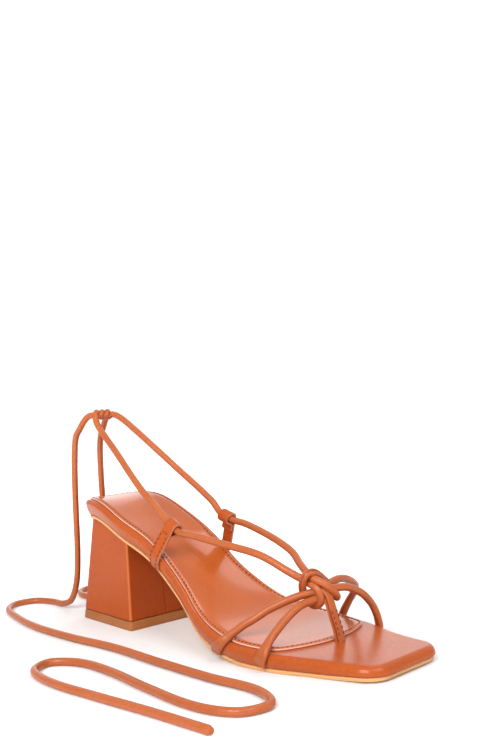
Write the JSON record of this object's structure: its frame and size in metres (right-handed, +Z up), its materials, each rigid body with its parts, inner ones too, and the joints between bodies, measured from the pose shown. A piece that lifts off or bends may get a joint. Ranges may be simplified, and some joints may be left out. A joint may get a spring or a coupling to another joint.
{
  "type": "ankle wrap sandal",
  "caption": "Open sandal for a right foot with a square toe, flared block heel, knotted toe straps and long ties to wind round the ankle.",
  "frame": {"origin": "on the floor, under the middle of the box round the standing shoe without its loose tie ends", "axes": "+X from heel to toe, +Y to the medial side, +Z up"},
  "size_m": [0.297, 0.2142, 0.1239],
  "materials": {
    "tan_leather": "smooth semi-gloss tan leather",
    "sock_leather": "smooth semi-gloss tan leather sock",
    "pale_sole": "pale natural sole sheet, matt",
    "top_lift_rubber": "brown matt rubber"
  },
  "bodies": {
    "root": {"outsole": "pale_sole", "footbed": "tan_leather", "sock_lining": "sock_leather", "heel_block": "tan_leather", "heel_top_lift": "top_lift_rubber", "upper_toe_straps": "tan_leather", "upper_ankle_sling": "tan_leather", "side_loop_lateral": "tan_leather", "side_loop_medial": "tan_leather", "tie_end_lateral": "tan_leather", "tie_end_medial": "tan_leather"}
  },
  "joints": []
}
